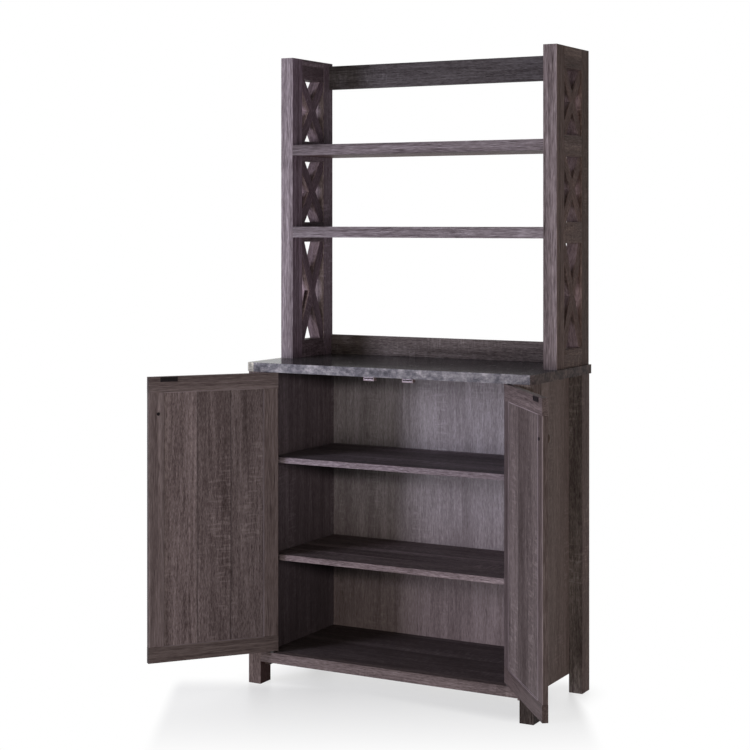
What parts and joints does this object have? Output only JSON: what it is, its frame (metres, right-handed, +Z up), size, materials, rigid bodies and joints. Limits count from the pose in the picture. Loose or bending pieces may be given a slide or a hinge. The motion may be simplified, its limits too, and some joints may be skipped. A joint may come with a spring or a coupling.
{
  "type": "microwave cabinet",
  "caption": "Tall microwave cabinet: two-door base with shelves on square legs, stone-look counter, and an open shelved hutch with crossed lattice sides.",
  "frame": {"origin": "on the floor, in the middle of the rectangle that the four legs stand on", "axes": "+X to the right as the doors are faced, +Y to the back, +Z up"},
  "size_m": [1.0864, 0.618, 1.628],
  "materials": {
    "grey_wood": "dark grey-brown sawn oak print on board, matt",
    "counter_laminate": "grey stone-look laminate on board, satin",
    "dowel_wood": "plain beech",
    "steel": "zinc plated",
    "strike_steel": "black, satin",
    "knob_metal": "dark bronze, satin",
    "catch_plastic": "pale moulded plastic",
    "magnet_ferrite": "dark ferrite",
    "nylon": "dark nylon"
  },
  "bodies": {
    "cabinet": {"back_panel": "grey_wood", "bottom_panel": "grey_wood", "catch_cases": "catch_plastic", "catch_magnets": "magnet_ferrite", "catch_pole_plates": "steel", "counter_top": "counter_laminate", "front_bottom_rail": "grey_wood", "front_left_leg": "grey_wood", "front_right_leg": "grey_wood", "hutch_bolts": "steel", "hutch_low_back_rail": "grey_wood", "hutch_lower_shelf": "grey_wood", "hutch_top_back_rail": "grey_wood", "hutch_upper_shelf": "grey_wood", "left_high_cross": "grey_wood", "left_hutch_bottom_rail": "grey_wood", "left_hutch_front_post": "grey_wood", "left_hutch_lower_rail": "grey_wood", "left_hutch_rear_post": "grey_wood", "left_hutch_top_rail": "grey_wood", "left_hutch_upper_rail": "grey_wood", "left_low_cross": "grey_wood", "left_middle_cross": "grey_wood", "left_side_panel": "grey_wood", "lower_base_shelf": "grey_wood", "pivot_bushes": "nylon", "rear_left_leg": "grey_wood", "rear_right_leg": "grey_wood", "right_high_cross": "grey_wood", "right_hutch_bottom_rail": "grey_wood", "right_hutch_front_post": "grey_wood", "right_hutch_lower_rail": "grey_wood", "right_hutch_rear_post": "grey_wood", "right_hutch_top_rail": "grey_wood", "right_hutch_upper_rail": "grey_wood", "right_low_cross": "grey_wood", "right_middle_cross": "grey_wood", "right_side_panel": "grey_wood", "shelf_pins": "steel", "upper_base_shelf": "grey_wood", "wood_dowels": "dowel_wood"},
    "left_door": {"left_door_bottom_rail": "grey_wood", "left_door_hinge_stile": "grey_wood", "left_door_knob": "knob_metal", "left_door_latch_stile": "grey_wood", "left_door_panel": "grey_wood", "left_door_pivot_pins": "steel", "left_door_screws": "steel", "left_door_strike_plate": "strike_steel", "left_door_top_rail": "grey_wood"},
    "right_door": {"right_door_bottom_rail": "grey_wood", "right_door_hinge_stile": "grey_wood", "right_door_knob": "knob_metal", "right_door_latch_stile": "grey_wood", "right_door_panel": "grey_wood", "right_door_pivot_pins": "steel", "right_door_screws": "steel", "right_door_strike_plate": "strike_steel", "right_door_top_rail": "grey_wood"}
  },
  "joints": [
    {"name": "left_door_swing", "type": "hinge", "parent": "cabinet", "child": "left_door", "pos_m": [-0.33199, -0.171, 0.084], "axis": [0, 0, -1], "range_deg": [-128.5, 1.5]},
    {"name": "right_door_swing", "type": "hinge", "parent": "cabinet", "child": "right_door", "pos_m": [0.33199, -0.171, 0.084], "axis": [0, 0, 1], "range_deg": [-128.5, 1.5]}
  ]
}
